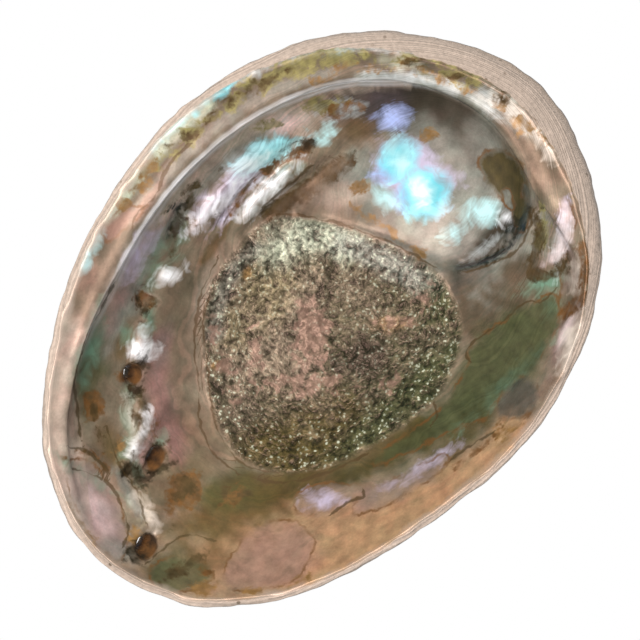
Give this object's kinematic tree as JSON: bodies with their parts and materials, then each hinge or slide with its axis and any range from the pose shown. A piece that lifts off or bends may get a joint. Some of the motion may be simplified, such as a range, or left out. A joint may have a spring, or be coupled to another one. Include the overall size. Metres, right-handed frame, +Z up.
{
  "type": "abalone shell",
  "caption": "Abalone shell lying on its back, with a pearly bowl, a rough muscle scar, an inner shelf curling into the spire and a row of breathing holes.",
  "frame": {"origin": "under the middle of the shell's bounding box, on the surface that its back rests on", "axes": "+X along the shell towards the spire end, +Y towards the shelf and the row of breathing holes, +Z up out of the open side"},
  "size_m": [0.1798, 0.1314, 0.048],
  "materials": {
    "nacre": "pearly inside, chalky and banded on the back"
  },
  "bodies": {
    "root": {"shell": "nacre"}
  },
  "joints": []
}
